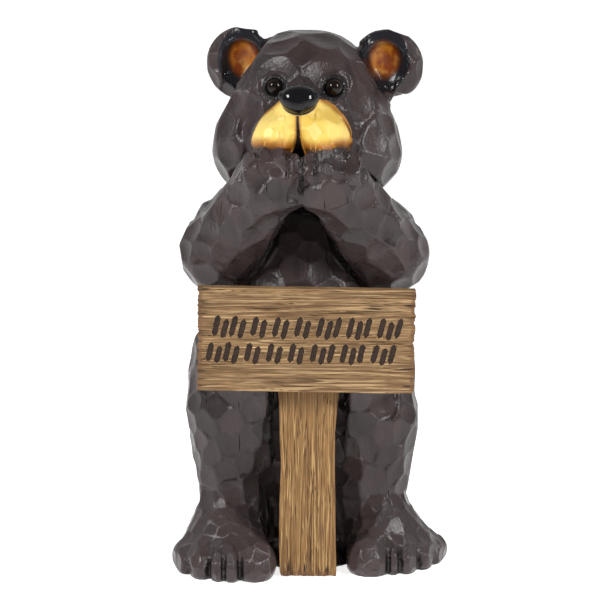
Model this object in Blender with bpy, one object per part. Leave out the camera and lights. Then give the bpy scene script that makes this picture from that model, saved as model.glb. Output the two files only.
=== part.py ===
"""A standing bear with both paws at its mouth, behind a board on a post.

The bear is one casting with the broad knife cuts of a carved log. Its glass eyes, the board and the
post are pieces of their own. Sizes are millimetres, turned into metres when a mesh is made. The
bear faces -Y and stands on z = 0, so its own right side is at -X.
"""

import math

import bmesh
import bpy
import numpy as np
from mathutils import Matrix, Vector

MM = 0.001

# Overall
HEAD_TURN = math.radians(6.8)  # the head looks a little to its right
HEAD_SIDE = 5.5  # where the head's own axis stands, along X
FIT_GAP = 0.4  # clearance between the bear and what is set into it or stands against it

# Board and post
BOARD_WIDTH, BOARD_HEIGHT, BOARD_THICK = 241.0, 116.0, 18.0
BOARD_CENTRE = (-0.5, -116.0, 273.0)
BOARD_ROLL = math.radians(0.9)  # its left end, the bear's own, hangs a little low
END_CHIPS = 3.2  # how far the broken ends of the grain stand in
POST_THICK, POST_TOP = 24.0, 290.0
POST_SIDES = [(0, -29.5, 33.0), (4, -31.5, 33.5), (34, -32.0, 32.5), (80, -31.5, 32.0), (125, -29.6, 31.3),
              (165, -31.0, 31.4), (195, -31.6, 34.0), (222, -33.5, 37.5), (POST_TOP, -33.5, 37.5)]
POST_FRONT = BOARD_CENTRE[1] + BOARD_THICK / 2 + 0.3

# Open splits along the grain: their middle on the face, (along, up) on the board and (x, z) on the
# post, and their length
BOARD_SPLITS = [(-88, 40, 58), (-60, 29, 50), (35, 43, 120), (92, 31, 50),
                (-96, -36, 44), (-10, -41, 150), (94, -33, 46), (60, -48, 90)]
POST_SPLITS = [(-17, 120, 190), (-3, 70, 100), (9, 150, 120), (22, 90, 150)]
BOARD_SPLIT = (2.2, 1.6)  # width and depth
POST_SPLIT = (2.4, 1.8)

# Gouged marks on the board's face: two rows of slanting strokes in seven clusters
MARK_WIDTH, MARK_DEPTH, MARK_LEAN = 6.2, 2.0, math.radians(13)
MARK_ROWS = [(13.5, 27.0), (-15.5, 25.0)]  # how far a row stands up the board, and how long its strokes are
# A cluster is the place of its first stroke along the board, and how many there are
MARK_CLUSTERS = [(-102, 4), (-60, 2), (-36, 2), (-12, 2), (12, 3), (45, 3), (79, 3)]
MARK_PITCH = 9.4

# Eyes
EYE_RADIUS = 9.3
EYE_SPREAD = 32.7
EYE_DEPTH, EYE_HEIGHT = -72.5, 546.0

# Mesh
GRID_STEP = 4.0  # spacing of the grid that the bear's surface is drawn on
BEAR_TRIANGLES = 7300
SCOOP_SIZE = (46.0, 2.6)  # width and depth of the two wide cuts over the eyes
TRIAL_STEP = 8.0  # spacing of the places that are tried for a cut
LOW, HIGH = (-172, -172, -16), (176, 136, 624)  # corners of a box round the bear
FINGER_PITCH = 15.5
RIGHT_WRIST, LEFT_WRIST = (-46, -112, 441), (33, -112, 441)
# The flats beside the ears: their upper edge's half spread and height, and how far they lean from upright
TEMPLE_HALF, TEMPLE_TOP, TEMPLE_LEAN = 55.0, 579.0, math.radians(31.5)


# ---------------------------------------------------------------- distance to a form
def ball(p, centre, radii):
    """Distance to an ellipsoid."""
    q = (p - np.array(centre)) / np.array(radii)
    size = np.linalg.norm(q, axis=1)
    slope = np.linalg.norm(q / np.array(radii), axis=1)
    return size * (size - 1.0) / np.maximum(slope, 1e-9)


def limb(p, start, end, start_radius, end_radius):
    """Distance to a round bar that tapers from start to end."""
    a = np.array(start, float)
    along = np.array(end, float) - a
    t = np.clip((p - a) @ along / (along @ along), 0.0, 1.0)
    radius = start_radius + (end_radius - start_radius) * t
    return np.linalg.norm(p - a - t[:, None] * along, axis=1) - radius


def join(a, b, blend):
    """Both forms, with a fillet of about the blend's size where they meet."""
    h = np.clip(0.5 + 0.5 * (b - a) / blend, 0.0, 1.0)
    return b * (1.0 - h) + a * h - blend * h * (1.0 - h)


def join_all(forms, blend):
    whole = forms[0]
    for form in forms[1:]:
        whole = join(whole, form, blend)
    return whole


def cut(a, b, blend):
    """Form a with form b taken out of it."""
    return -join(-a, b, blend)


# ---------------------------------------------------------------- the bear's forms
def torso(p):
    hips = ball(p, (-6, 12, 203), (130, 85, 130))
    belly = ball(p, (-5, -28, 272), (100, 76, 112))
    chest = ball(p, (-5, 14, 330), (106, 82, 104))
    hump = ball(p, (-4, 38, 385), (90, 54, 62))
    tail = ball(p, (0, 98, 152), (20, 20, 24))
    web = ball(p, (1, 18, 60), (60, 36, 150))
    base = ball(p, (0, -22, -14), (62, 64, 34))
    recess = np.max([np.abs(p[:, 0] - 2) - 45, p[:, 1] + 36, p[:, 2] - 224], axis=0)
    whole = cut(join_all([hips, belly, chest, hump, web], 26.0), recess, 9.0)
    return join_all([whole, tail, base], 8.0)


def leg(p, hip, ankle, hip_radius, ankle_radius):
    """The shin, squared off towards the other leg, and the heel."""
    shin = limb(p, hip, ankle, hip_radius, ankle_radius)
    inward = -math.copysign(14.0, ankle[0])
    inner = limb(p, (hip[0] + 1.4 * inward, -26, hip[2]), (ankle[0] + inward, -26, ankle[2]), 26, 23)
    heel = ball(p, (ankle[0], 12, 24), (37, 44, 38))
    return join(join(shin, inner, 10.0), heel, 24.0)


def foot(p, ankle, toes):
    """An instep that fans out from the ankle to five toes, with a slit between each two."""
    whole, pads = limb(p, (ankle[0], ankle[1] + 2, 46), (ankle[0], ankle[1] - 8, 30), 35, 37), None
    for x0, x1, tip_y, height in toes:
        x, half = (x0 + x1) / 2, abs(x1 - x0) / 2
        start = (ankle[0] * 0.8 + x * 0.2, ankle[1], 34)
        ray = limb(p, start, (x, tip_y + 34, 0.5 * height), 33, 12.0 + 0.5 * half)
        whole = join(whole, ray, 14.0)
        toe = ball(p, (x, tip_y + 31, 0.3 * height), (half + 4.6, 31, 0.7 * height))
        pads = toe if pads is None else join(pads, toe, 3.5)
    return join(whole, pads, 8.0)


def arm(p, side, shoulder, elbow, wrist):
    """Upper arm, forearm and the palm side of the paw."""
    upper = limb(p, shoulder, elbow, 42, 44)
    fore = limb(p, (elbow[0], elbow[1] - 7, elbow[2] + 2), wrist, 44, 35)
    paw = ball(p, (wrist[0] - side * 5, wrist[1] - 12, wrist[2] + 12), (32, 26, 30))
    palm = ball(p, (wrist[0] - side * 13.5, wrist[1] - 5, wrist[2] + 6), (31, 29, 30))
    return join_all([upper, fore, paw, palm], 12.0)


def fingers(p, side, wrist):
    """Four fingers in a row along the paw's upper edge. Each hangs from its knuckle to its tip."""
    row = None
    for n in range(4):
        x = wrist[0] + side * (15.0 - FINGER_PITCH * n)
        z = wrist[2] + 20.0 - 1.4 * (n - 1.2) ** 2
        finger = limb(p, (x, wrist[1] - 31, z), (x, wrist[1] - 22, z + 15), 9.0, 8.0)
        row = finger if row is None else join(row, finger, 1.5)
    return row


def head_frame(p):
    """Points as the turned head sees them."""
    c, s = math.cos(HEAD_TURN), math.sin(HEAD_TURN)
    x, y = p[:, 0] - HEAD_SIDE, p[:, 1]
    return np.stack([x * c - y * s, x * s + y * c, p[:, 2]], axis=1)


def from_head(x, y, z):
    """A place on the turned head, in the bear's frame."""
    c, s = math.cos(HEAD_TURN), math.sin(HEAD_TURN)
    return HEAD_SIDE + x * c + y * s, -x * s + y * c, z


def skull(p):
    q = head_frame(p)
    crown = ball(q, (-7, 2, 515), (94, 90, 88))
    cheeks = join(ball(q, (-58, -12, 472), (51, 64, 52)), ball(q, (50, -12, 470), (51, 64, 52)), 30.0)
    jaw = ball(q, (-6, -34, 455), (66, 60, 46))
    whole = join_all([crown, cheeks, jaw], 24.0)
    for side in (-1, 1):
        brow = ball(q, (side * 33 - 3, -95 + side * 2, 557), (31, 25, 46))
        whole = cut(whole, brow, 4.0)
        out, up = side * (q[:, 0] + 2) - TEMPLE_HALF, q[:, 2] - TEMPLE_TOP
        temple = out * math.cos(TEMPLE_LEAN) + up * math.sin(TEMPLE_LEAN)
        whole = cut(whole, -temple, 6.0)
    return whole


def muzzle(p):
    q = head_frame(p)
    lobes = join(ball(q, (-28, -88, 492), (28.5, 48, 30)), ball(q, (24, -88, 492), (28.5, 48, 30)), 12.0)
    upper = ball(q, (-1, -82, 517), (33, 46, 24))
    bridge = limb(q, (-1, -103, 530), (-1, -66, 547), 18, 20)
    whole = join_all([upper, bridge, lobes], 14.0)
    return cut(whole, limb(q, (-1, -135, 524), (-1, -133, 476), 2.5, 7.5), 2.5)


def nose(p):
    q = head_frame(p)
    pads = join(ball(q, (-10, -122, 539), (13, 14, 11)), ball(q, (10, -122, 539), (13, 14, 11)), 10.0)
    return join(pads, ball(q, (0, -125, 530), (11, 12, 10)), 12.0)


def ears(p):
    q = head_frame(p)
    pair = None
    for side in (-1, 1):
        disc = ball(q, (side * 82 + 1, 16, 564.5 - side), (39.5, 19, 39.5))
        bowl = ball(q, (side * 80 + 1, -4, 565 - side), (26, 19, 28.5))
        ear = cut(disc, bowl, 2.0)
        pair = ear if pair is None else np.minimum(pair, ear)
    return pair


# Toes from the big one outwards: inner and outer sides along x, where the tip is along y, and the height
RIGHT_TOES = [(-41, -77, -133, 37), (-77, -92, -134, 36), (-92, -106, -131, 36), (-106, -129, -122, 35),
              (-128, -144, -101, 29)]
LEFT_TOES = [(50, 92, -112, 38), (92, 102, -105, 36), (102, 121, -101, 35), (121, 140, -84, 33),
             (138, 152, -62, 23)]

# Each group of forms, the fillet where it joins those before it, and the width and the greatest
# depth of the knife cuts on it
GROUPS = {
    "torso": (torso, 1.0, 27.0, 2.6),
    "right_leg": (lambda p: leg(p, (-89, -8, 170), (-87, -14, 60), 49, 35), 14.0, 24.0, 1.9),
    "left_leg": (lambda p: leg(p, (79, -8, 160), (77, -14, 58), 49, 34), 14.0, 24.0, 1.9),
    "right_foot": (lambda p: foot(p, (-89, -32), RIGHT_TOES), 12.0, 15.0, 1.2),
    "left_foot": (lambda p: foot(p, (82, -30), LEFT_TOES), 12.0, 15.0, 1.2),
    "right_arm": (lambda p: arm(p, -1, (-90, 12, 373), (-95, -45, 360), RIGHT_WRIST), 7.0, 25.0, 2.6),
    "left_arm": (lambda p: arm(p, 1, (82, 12, 371), (88, -45, 357), LEFT_WRIST), 4.5, 25.0, 2.6),
    "right_fingers": (lambda p: fingers(p, -1, RIGHT_WRIST), 2.5, 14.0, 1.0),
    "left_fingers": (lambda p: fingers(p, 1, LEFT_WRIST), 2.5, 14.0, 1.0),
    "skull": (skull, 5.0, 31.0, 2.6),
    "muzzle": (muzzle, 6.0, 22.0, 0.7),
    "nose": (nose, 1.5, 14.0, 0.4),
    "ears": (ears, 9.0, 20.0, 2.2),
}


def bear_field(p):
    """Distance from each point to the bear's skin, negative inside."""
    whole = None
    for form, fillet, *_ in GROUPS.values():
        part = form(p)
        whole = part if whole is None else join(whole, part, fillet)
    return np.maximum(whole, -9.0 - p[:, 2])


def cut_sizes(p):
    """Width and depth of a knife cut at each point: those of the group whose skin is nearest."""
    distances = np.stack([form(p) for form, *_ in GROUPS.values()])
    sizes = np.array([(width, depth) for _, _, width, depth in GROUPS.values()])
    return sizes[np.argmin(distances, axis=0)]


# ---------------------------------------------------------------- from a field to a mesh
def in_chunks(function, p, size=200000):
    return np.concatenate([function(p[i:i + size]) for i in range(0, len(p), size)])


def gradient(field, p, step=0.3):
    slopes = [in_chunks(field, p + step * axis) - in_chunks(field, p - step * axis) for axis in np.eye(3)]
    g = np.stack(slopes, axis=1) / (2 * step)
    return g / np.maximum(np.linalg.norm(g, axis=1), 1e-9)[:, None]


def onto_skin(field, p, rounds=3, longest=3.0):
    """Moves points along the field's slope until they lie on the skin."""
    for _ in range(rounds):
        p = p - np.clip(in_chunks(field, p), -longest, longest)[:, None] * gradient(field, p)
    return p


def lattice(axes):
    """Every point of the grid that three lists of coordinates make."""
    return np.stack(np.meshgrid(*axes, indexing="ij"), axis=-1).reshape(-1, 3)


def inside_grid(field, step, counts):
    """Whether each grid node is inside. Only nodes near the skin are measured one by one."""
    coarse = 4
    wide = [n // coarse + 2 for n in counts]
    axes = [LOW[a] + coarse * step * np.arange(wide[a]) for a in range(3)]
    rough = in_chunks(field, lattice(axes)).reshape(wide)
    nearest = [np.minimum((np.arange(n) + coarse // 2) // coarse, w - 1) for n, w in zip(counts, wide)]
    rough = rough[np.ix_(*nearest)]
    inside = rough <= 0
    close = np.argwhere(np.abs(rough) < 1.5 * coarse * step)
    inside[tuple(close.T)] = in_chunks(field, np.array(LOW) + step * close) <= 0
    return inside


def without_touching_corners(inside):
    """Fills the nodes where two lumps would meet only at an edge or a corner, so the skin is one sheet."""
    while True:
        before = inside.sum()
        for a, b in ((0, 1), (0, 2), (1, 2)):
            turned = np.moveaxis(inside, (a, b), (0, 1))
            views = [turned[i:i - 1 or None, j:j - 1 or None] for i in (0, 1) for j in (0, 1)]
            crossed = (views[0] == views[3]) & (views[1] == views[2]) & (views[0] != views[1])
            for view in views:
                view |= crossed
        cubes = [inside[i:i - 1 or None, j:j - 1 or None, k:k - 1 or None]
                 for i in (0, 1) for j in (0, 1) for k in (0, 1)]
        number = sum(cube.astype(int) for cube in cubes)
        for n in range(4):
            pair = (cubes[n] == cubes[7 - n]) & (number == np.where(cubes[n], 2, 6))
            for cube in cubes:
                cube |= pair
        if inside.sum() == before:
            return inside


def skin_mesh(field, step):
    """One vertex in every grid cell that the skin crosses, one quad across every grid edge it crosses."""
    counts = [int(math.ceil((HIGH[a] - LOW[a]) / step)) + 1 for a in range(3)]
    inside = without_touching_corners(inside_grid(field, step, counts))
    corner_sum = sum(
        inside[i:counts[0] - 1 + i, j:counts[1] - 1 + j, k:counts[2] - 1 + k].astype(int)
        for i in (0, 1) for j in (0, 1) for k in (0, 1)
    )
    crossed = (corner_sum > 0) & (corner_sum < 8)
    index = np.full(crossed.shape, -1)
    index[crossed] = np.arange(crossed.sum())
    middles = np.array(LOW) + step * (np.argwhere(crossed) + 0.5)
    points = middles
    for _ in range(3):  # each vertex moves to the skin, and stays in its own cell
        points = onto_skin(field, points, rounds=1)
        points = middles + np.clip(points - middles, -0.48 * step, 0.48 * step)
    quads = []
    for axis in range(3):
        b, c = (axis + 1) % 3, (axis + 2) % 3
        front = np.roll(inside, -1, axis)
        edges = np.argwhere(inside != front)
        edges = edges[(edges[:, axis] < counts[axis] - 1) & (edges[:, b] > 0) & (edges[:, c] > 0)]
        ring = []
        for db, dc in ((1, 1), (0, 1), (0, 0), (1, 0)):
            cell = edges.copy()
            cell[:, b] -= db
            cell[:, c] -= dc
            ring.append(index[tuple(cell.T)])
        ring = np.stack(ring, axis=1)
        leaving = inside[tuple(edges.T)]
        ring[~leaving] = ring[~leaving][:, ::-1]
        quads.append(ring)
    return points, np.concatenate(quads)


# ---------------------------------------------------------------- knife cuts
def cut_centres(field):
    """Places of the knife cuts: the wide scoops over the eyes, and the others spread over the skin
    so that each has about its own width to itself."""
    scoops = np.array([from_head(side * 30 - 3, -72, 566) for side in (-1, 1)])
    rng = np.random.default_rng(7)
    p = lattice([np.arange(LOW[a], HIGH[a], TRIAL_STEP) for a in range(3)])
    p = p + rng.uniform(-0.4, 0.4, p.shape) * TRIAL_STEP
    p = p[np.abs(in_chunks(field, p)) < TRIAL_STEP]
    p = onto_skin(field, p, rounds=4, longest=TRIAL_STEP)
    p = p[np.abs(in_chunks(field, p)) < 0.5]
    p = p[rng.permutation(len(p))]
    p = np.concatenate([onto_skin(field, scoops, rounds=4, longest=TRIAL_STEP), p])
    sizes = in_chunks(cut_sizes, p)
    sizes[:len(scoops)] = SCOOP_SIZE
    widths = sizes[:, 0]
    kept = list(range(len(scoops)))
    for i in range(len(scoops), len(p)):
        if (np.linalg.norm(p[kept] - p[i], axis=1) > 0.43 * (widths[i] + widths[kept])).all():
            kept.append(i)
    return p[kept], gradient(field, p[kept]), sizes[kept]


def carved(p, normals, centres, facings, sizes):
    """Moves each point to the flat of the knife cut that it lies in, with a soft ridge between two cuts."""
    widths, depths = sizes.T
    moved = np.empty(len(p))
    for start in range(0, len(p), 8000):
        block = slice(start, start + 8000)
        q, n = p[block], normals[block]
        away = np.linalg.norm(q[:, None, :] - centres[None], axis=2) / widths
        away = away + 0.6 * np.clip(0.4 - n @ facings.T, 0.0, None)
        near = np.argpartition(away, 4, axis=1)[:, :4]
        share = np.take_along_axis(away, near, axis=1)
        share = np.exp(-18.0 * (share - share.min(axis=1, keepdims=True)))
        share = share / share.sum(axis=1, keepdims=True)
        m = facings[near]
        rise = np.einsum("ijk,ijk->ij", centres[near] - q[:, None, :], m)
        rise = rise / np.maximum(np.einsum("ik,ijk->ij", n, m), 0.45)
        deepest = depths[near]
        moved[block] = (share * (np.clip(rise, -deepest, deepest) - deepest / 8)).sum(axis=1)
    return p + normals * moved[:, None]


# ---------------------------------------------------------------- Blender objects
def paint(name, colour, roughness, metallic=0.0):
    material = bpy.data.materials.new(name)
    material.use_nodes = True
    shader = material.node_tree.nodes["Principled BSDF"]
    shader.inputs["Base Color"].default_value = (*colour, 1.0)
    shader.inputs["Roughness"].default_value = roughness
    shader.inputs["Metallic"].default_value = metallic
    return material


def new_object(name, points, faces, material=None):
    mesh = bpy.data.meshes.new(name)
    mesh.from_pydata((np.asarray(points) * MM).tolist(), [], np.asarray(faces).tolist())
    mesh.validate()
    made = bpy.data.objects.new(name, mesh)
    bpy.context.scene.collection.objects.link(made)
    if material:
        mesh.materials.append(material)
    return made


def bm_object(name, bm, material=None):
    mesh = bpy.data.meshes.new(name)
    bm.to_mesh(mesh)
    bm.free()
    made = bpy.data.objects.new(name, mesh)
    bpy.context.scene.collection.objects.link(made)
    if material:
        mesh.materials.append(material)
    return made


def apply_modifiers(made):
    """The object's evaluated mesh becomes its own, as Apply does."""
    graph = bpy.context.evaluated_depsgraph_get()
    mesh = bpy.data.meshes.new_from_object(made.evaluated_get(graph))
    made.modifiers.clear()
    made.data = mesh


def is_closed(mesh):
    """Whether every edge lies between two faces and every vertex has one ring of faces."""
    bm = bmesh.new()
    bm.from_mesh(mesh)
    closed = all(edge.is_manifold for edge in bm.edges) and all(vertex.is_manifold for vertex in bm.verts)
    bm.free()
    return closed


def thinned(made, triangles):
    """The object with about that many triangles: the first try that leaves the skin closed."""
    fine = made.data
    start = triangles / sum(len(face.vertices) - 2 for face in fine.polygons)
    for step in range(12):
        made.data = fine
        modifier = made.modifiers.new("fewer_faces", "DECIMATE")
        modifier.ratio = start * (1.0 - 0.004 * step)
        apply_modifiers(made)
        if is_closed(made.data):
            return
    raise ValueError(made.name + " does not stay closed")


def box(name, centre, size, roll=0.0, material=None):
    bm = bmesh.new()
    place = Matrix.Translation(Vector(centre) * MM) @ Matrix.Rotation(roll, 4, "Y")
    scale = Matrix.Diagonal((*(Vector(size) * MM), 1.0))
    bmesh.ops.create_cube(bm, size=1.0, matrix=place @ scale)
    return bm_object(name, bm, material)


def sphere(name, centre, radius, material=None):
    bm = bmesh.new()
    place = Matrix.Translation(Vector(centre) * MM) @ Matrix.Rotation(math.pi / 2, 4, "X")
    bmesh.ops.create_uvsphere(bm, u_segments=14, v_segments=8, radius=radius * MM, matrix=place)
    return bm_object(name, bm, material)


def cut_away(made, cutter):
    """Takes the cutter's shape out of the object, and removes the cutter."""
    modifier = made.modifiers.new("cut_" + cutter.name, "BOOLEAN")
    modifier.operation = "DIFFERENCE"
    modifier.solver = "EXACT"
    modifier.object = cutter
    apply_modifiers(made)
    bpy.data.objects.remove(cutter)


def slab(name, outline, front, thick, material=None):
    """A plate that stands across Y. Its outline is (x, z) points, anticlockwise as seen from the front."""
    n = len(outline)
    points = [(x, front, z) for x, z in outline] + [(x, front + thick, z) for x, z in outline]
    faces = [list(range(n)), list(range(2 * n - 1, n - 1, -1))]
    faces += [[i, i + n, (i + 1) % n + n, (i + 1) % n] for i in range(n)]
    bm = bmesh.new()
    verts = [bm.verts.new(Vector(point) * MM) for point in points]
    for face in faces:
        bm.faces.new([verts[i] for i in face])
    bmesh.ops.recalc_face_normals(bm, faces=bm.faces)
    return bm_object(name, bm, material)


def split(made, middle, length, width, depth, angle):
    """A V-shaped cut into a face that looks along -Y: deepest in the middle, running out at both ends."""
    bm = bmesh.new()
    points = [(-length / 2, 0, 0), (length / 2, 0, 0)]
    points += [(0, 0, -width / 2), (0, depth, 0), (0, 0, width / 2), (0, -depth, 0)]
    verts = [bm.verts.new(Vector(point) * MM) for point in points]
    for i in range(4):
        a, b = verts[2 + i], verts[2 + (i + 1) % 4]
        bm.faces.new((verts[0], a, b))
        bm.faces.new((verts[1], b, a))
    bmesh.ops.recalc_face_normals(bm, faces=bm.faces)
    place = Matrix.Translation(Vector(middle) * MM) @ Matrix.Rotation(-angle, 4, "Y")
    bmesh.ops.transform(bm, matrix=place, verts=bm.verts)
    cut_away(made, bm_object("split", bm))


def stroke(made, middle, length, width, depth, angle):
    """A shallow flat-bottomed mark with pointed ends, cut into a face that looks along -Y."""
    along = length * np.array((math.cos(angle), math.sin(angle)))
    across = width * np.array((-math.sin(angle), math.cos(angle)))
    corners = [(-0.5, 0), (-0.36, -0.5), (0.36, -0.5), (0.5, 0), (0.36, 0.5), (-0.36, 0.5)]
    outline = [np.array((middle[0], middle[2])) + a * along + b * across for a, b in corners]
    cut_away(made, slab("stroke", outline, middle[1] - 1.0, depth + 1.0))


# ---------------------------------------------------------------- the pieces
def make_bear(material):
    points, quads = skin_mesh(bear_field, GRID_STEP)
    centres, facings, sizes = cut_centres(bear_field)
    normals = gradient(bear_field, points)
    openness = np.einsum("ij,ij->i", normals, gradient(bear_field, points + 5.0 * normals))
    openness = np.clip((openness - 0.55) / 0.35, 0.0, 1.0) * np.clip((points[:, 2] + 1.0) / 4.0, 0.0, 1.0)
    normals = normals * openness[:, None]
    points = carved(points, normals, centres, facings, sizes)
    bear = new_object("bear", points, quads, material)
    thinned(bear, BEAR_TRIANGLES)
    print("bear", len(points), "points,", len(centres), "cuts,", len(bear.data.polygons), "faces")
    cut_away(bear, box("ground", (0, 0, -50), (500, 500, 100)))
    return bear


def make_eye(name, side, material):
    place = from_head(side * EYE_SPREAD, EYE_DEPTH, EYE_HEIGHT)
    return sphere(name, place, EYE_RADIUS, material), sphere(name + "_socket", place, EYE_RADIUS + FIT_GAP)


def on_board(along, up):
    """A place on the board's face, from its middle, along the board and up it."""
    c, s = math.cos(BOARD_ROLL), math.sin(BOARD_ROLL)
    return BOARD_CENTRE[0] + along * c + up * s, BOARD_CENTRE[2] - along * s + up * c


def make_board(material):
    """A plank with broken ends, a few open splits in its face, and two rows of gouged marks."""
    rng = np.random.default_rng(3)
    half, top = BOARD_WIDTH / 2, BOARD_HEIGHT / 2
    levels = np.linspace(-top, top, 15)
    right = [(half - rng.uniform(0, END_CHIPS), z) for z in levels]
    left = [(-half + rng.uniform(0, END_CHIPS), z) for z in levels[::-1]]
    for end, n in ((right, 4), (right, 9), (left, 3), (left, 10)):
        end[n] = (end[n][0] - math.copysign(END_CHIPS, end[n][0]), end[n][1])
    upper = [(x, top + rng.uniform(-1.2, 0.6)) for x in (75, 20, -35, -80)]
    lower = [(x, -top + rng.uniform(-0.6, 1.2)) for x in (-80, -30, 25, 70)]
    outline = [on_board(x, z) for x, z in right + upper + left + lower]
    board = slab("sign_board", outline, BOARD_CENTRE[1] - BOARD_THICK / 2, BOARD_THICK, material)
    front = BOARD_CENTRE[1] - BOARD_THICK / 2
    for along, up, length in BOARD_SPLITS:
        x, z = on_board(along, up)
        split(board, (x, front, z), length, *BOARD_SPLIT, -BOARD_ROLL)
    upright = math.pi / 2 - MARK_LEAN
    for up, length in MARK_ROWS:
        for first, count in MARK_CLUSTERS:
            for n in range(count):
                x, z = on_board(first + MARK_PITCH * n + math.tan(MARK_LEAN) * up, up + 1.5 * (-1) ** n)
                stroke(board, (x, front, z), length - 2.0 * (n % 2), MARK_WIDTH, MARK_DEPTH, upright)
    return board


def make_post(material):
    outline = [(right, z) for z, _, right in POST_SIDES] + [(left, z) for z, left, _ in reversed(POST_SIDES)]
    post = slab("sign_post", outline, POST_FRONT, POST_THICK, material)
    for x, z, length in POST_SPLITS:
        split(post, (x, POST_FRONT, z), length, *POST_SPLIT, math.pi / 2)
    return post


def main():
    for old in list(bpy.data.objects):
        bpy.data.objects.remove(old)
    bear = make_bear(paint("bear_paint", (0.055, 0.045, 0.047), 0.45))
    glass = paint("eye_glass", (0.006, 0.005, 0.005), 0.05)
    for name, side in (("right_eye", -1), ("left_eye", 1)):
        eye, socket = make_eye(name, side, glass)
        eye.data.shade_smooth()
        cut_away(bear, socket)
    wood = paint("sign_paint", (0.36, 0.22, 0.10), 0.6)
    make_board(wood)
    make_post(wood)
    gap = 2 * FIT_GAP
    cut_away(bear, box("board_seat", BOARD_CENTRE,
                       (BOARD_WIDTH + gap, BOARD_THICK + gap, BOARD_HEIGHT + gap + 1.2), BOARD_ROLL))
    left, right = min(side[1] for side in POST_SIDES), max(side[2] for side in POST_SIDES)
    cut_away(bear, box("post_seat", ((left + right) / 2, POST_FRONT + POST_THICK / 2, POST_TOP / 2),
                       (right - left + gap, POST_THICK + gap, POST_TOP + gap)))


main()
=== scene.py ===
# %% [markdown]
# # A carved bear behind a board
#
# The statue is a resin casting that imitates a log carved with a broad gouge: a bear stands upright
# with both paws at its mouth, and a plank on a post stands in front of it. The measured solids come
# first. Everything made below is fitted to them, so their corners are read and not guessed.

# %% Load the measured solids
import math

import bmesh
import bpy
import numpy as np
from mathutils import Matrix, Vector, noise


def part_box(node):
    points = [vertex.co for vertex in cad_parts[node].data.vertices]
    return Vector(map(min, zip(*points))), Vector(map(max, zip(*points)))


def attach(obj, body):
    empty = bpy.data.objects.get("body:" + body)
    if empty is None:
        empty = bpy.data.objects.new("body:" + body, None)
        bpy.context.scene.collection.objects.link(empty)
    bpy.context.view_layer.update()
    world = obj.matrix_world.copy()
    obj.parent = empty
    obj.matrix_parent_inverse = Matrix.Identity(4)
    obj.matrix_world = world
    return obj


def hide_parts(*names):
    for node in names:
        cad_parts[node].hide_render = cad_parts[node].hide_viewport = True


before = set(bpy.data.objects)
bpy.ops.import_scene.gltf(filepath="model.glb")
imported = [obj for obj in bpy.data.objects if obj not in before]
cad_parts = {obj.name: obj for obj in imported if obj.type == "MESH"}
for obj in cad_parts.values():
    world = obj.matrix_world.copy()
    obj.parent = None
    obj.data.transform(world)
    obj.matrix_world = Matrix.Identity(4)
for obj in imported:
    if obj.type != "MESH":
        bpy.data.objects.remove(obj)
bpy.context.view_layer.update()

MM = 0.001


def corners(node):
    """Lowest and highest corner of a measured solid, in millimetres."""
    low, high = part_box(node)
    return np.array(low) / MM, np.array(high) / MM


for node in sorted(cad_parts):
    low, high = corners(node)
    print(f"{node}: from {low.round(1)} to {high.round(1)} mm")

# %% [markdown]
# ## The forms under the carving
#
# A carver roughs out head, body and limbs before any facet is cut. Here each rough form is a distance:
# a function that tells how far a point lies from it, negative inside. Blending two distances joins the
# forms with a fillet. Sculpting by hand can't be repeated, and a union of spheres leaves hard creases.

# %% Balls, bars and fillets
def ball(p, centre, radii):
    """Distance to an ellipsoid."""
    q = (p - np.array(centre)) / np.array(radii)
    size = np.linalg.norm(q, axis=1)
    slope = np.linalg.norm(q / np.array(radii), axis=1)
    return size * (size - 1.0) / np.maximum(slope, 1e-9)


def limb(p, start, end, start_radius, end_radius):
    """Distance to a round bar that tapers from start to end."""
    a = np.array(start, float)
    along = np.array(end, float) - a
    t = np.clip((p - a) @ along / (along @ along), 0.0, 1.0)
    radius = start_radius + (end_radius - start_radius) * t
    return np.linalg.norm(p - a - t[:, None] * along, axis=1) - radius


def join(a, b, blend):
    """Both forms, with a fillet of about the blend's size where they meet."""
    h = np.clip(0.5 + 0.5 * (b - a) / blend, 0.0, 1.0)
    return b * (1.0 - h) + a * h - blend * h * (1.0 - h)


def join_all(forms, blend):
    whole = forms[0]
    for form in forms[1:]:
        whole = join(whole, form, blend)
    return whole


def cut(a, b, blend):
    """Form a with form b taken out of it."""
    return -join(-a, b, blend)

# %% [markdown]
# ## The bear, form by form
#
# The numbers are millimetres in the statue's own frame: it faces -Y, and its right side is at -X.
# They are the ones that the measured solid was made from, so the fine skin fits that solid. Only the
# palms, the bridge and crest of the nose and the rims of the ear bowls are drawn a little finer here.
# Four finger bars stand in a row along each paw's upper edge, and a thin tapering bar is taken out of
# the muzzle for the cleft under the nose.

# %% The eyes set the head's frame
HEAD_TURN = math.radians(6.8)
HEAD_SIDE = 5.5
FINGER_PITCH = 15.5
RIGHT_WRIST, LEFT_WRIST = (-46, -112, 441), (33, -112, 441)
# The flats beside the ears: their upper edge's half spread and height, and how far they lean from upright
TEMPLE_HALF, TEMPLE_TOP, TEMPLE_LEAN = 55.0, 579.0, math.radians(31.5)
EYES = {name: sum(corners(name)) / 2 for name in ("right_eye", "left_eye")}
EYE_RADIUS = (corners("left_eye")[1] - corners("left_eye")[0])[2] / 2
print("the eyes are", round(float(np.linalg.norm(EYES["left_eye"] - EYES["right_eye"])), 1), "mm apart")
print("each has a radius of", round(float(EYE_RADIUS), 2), "mm")

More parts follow.
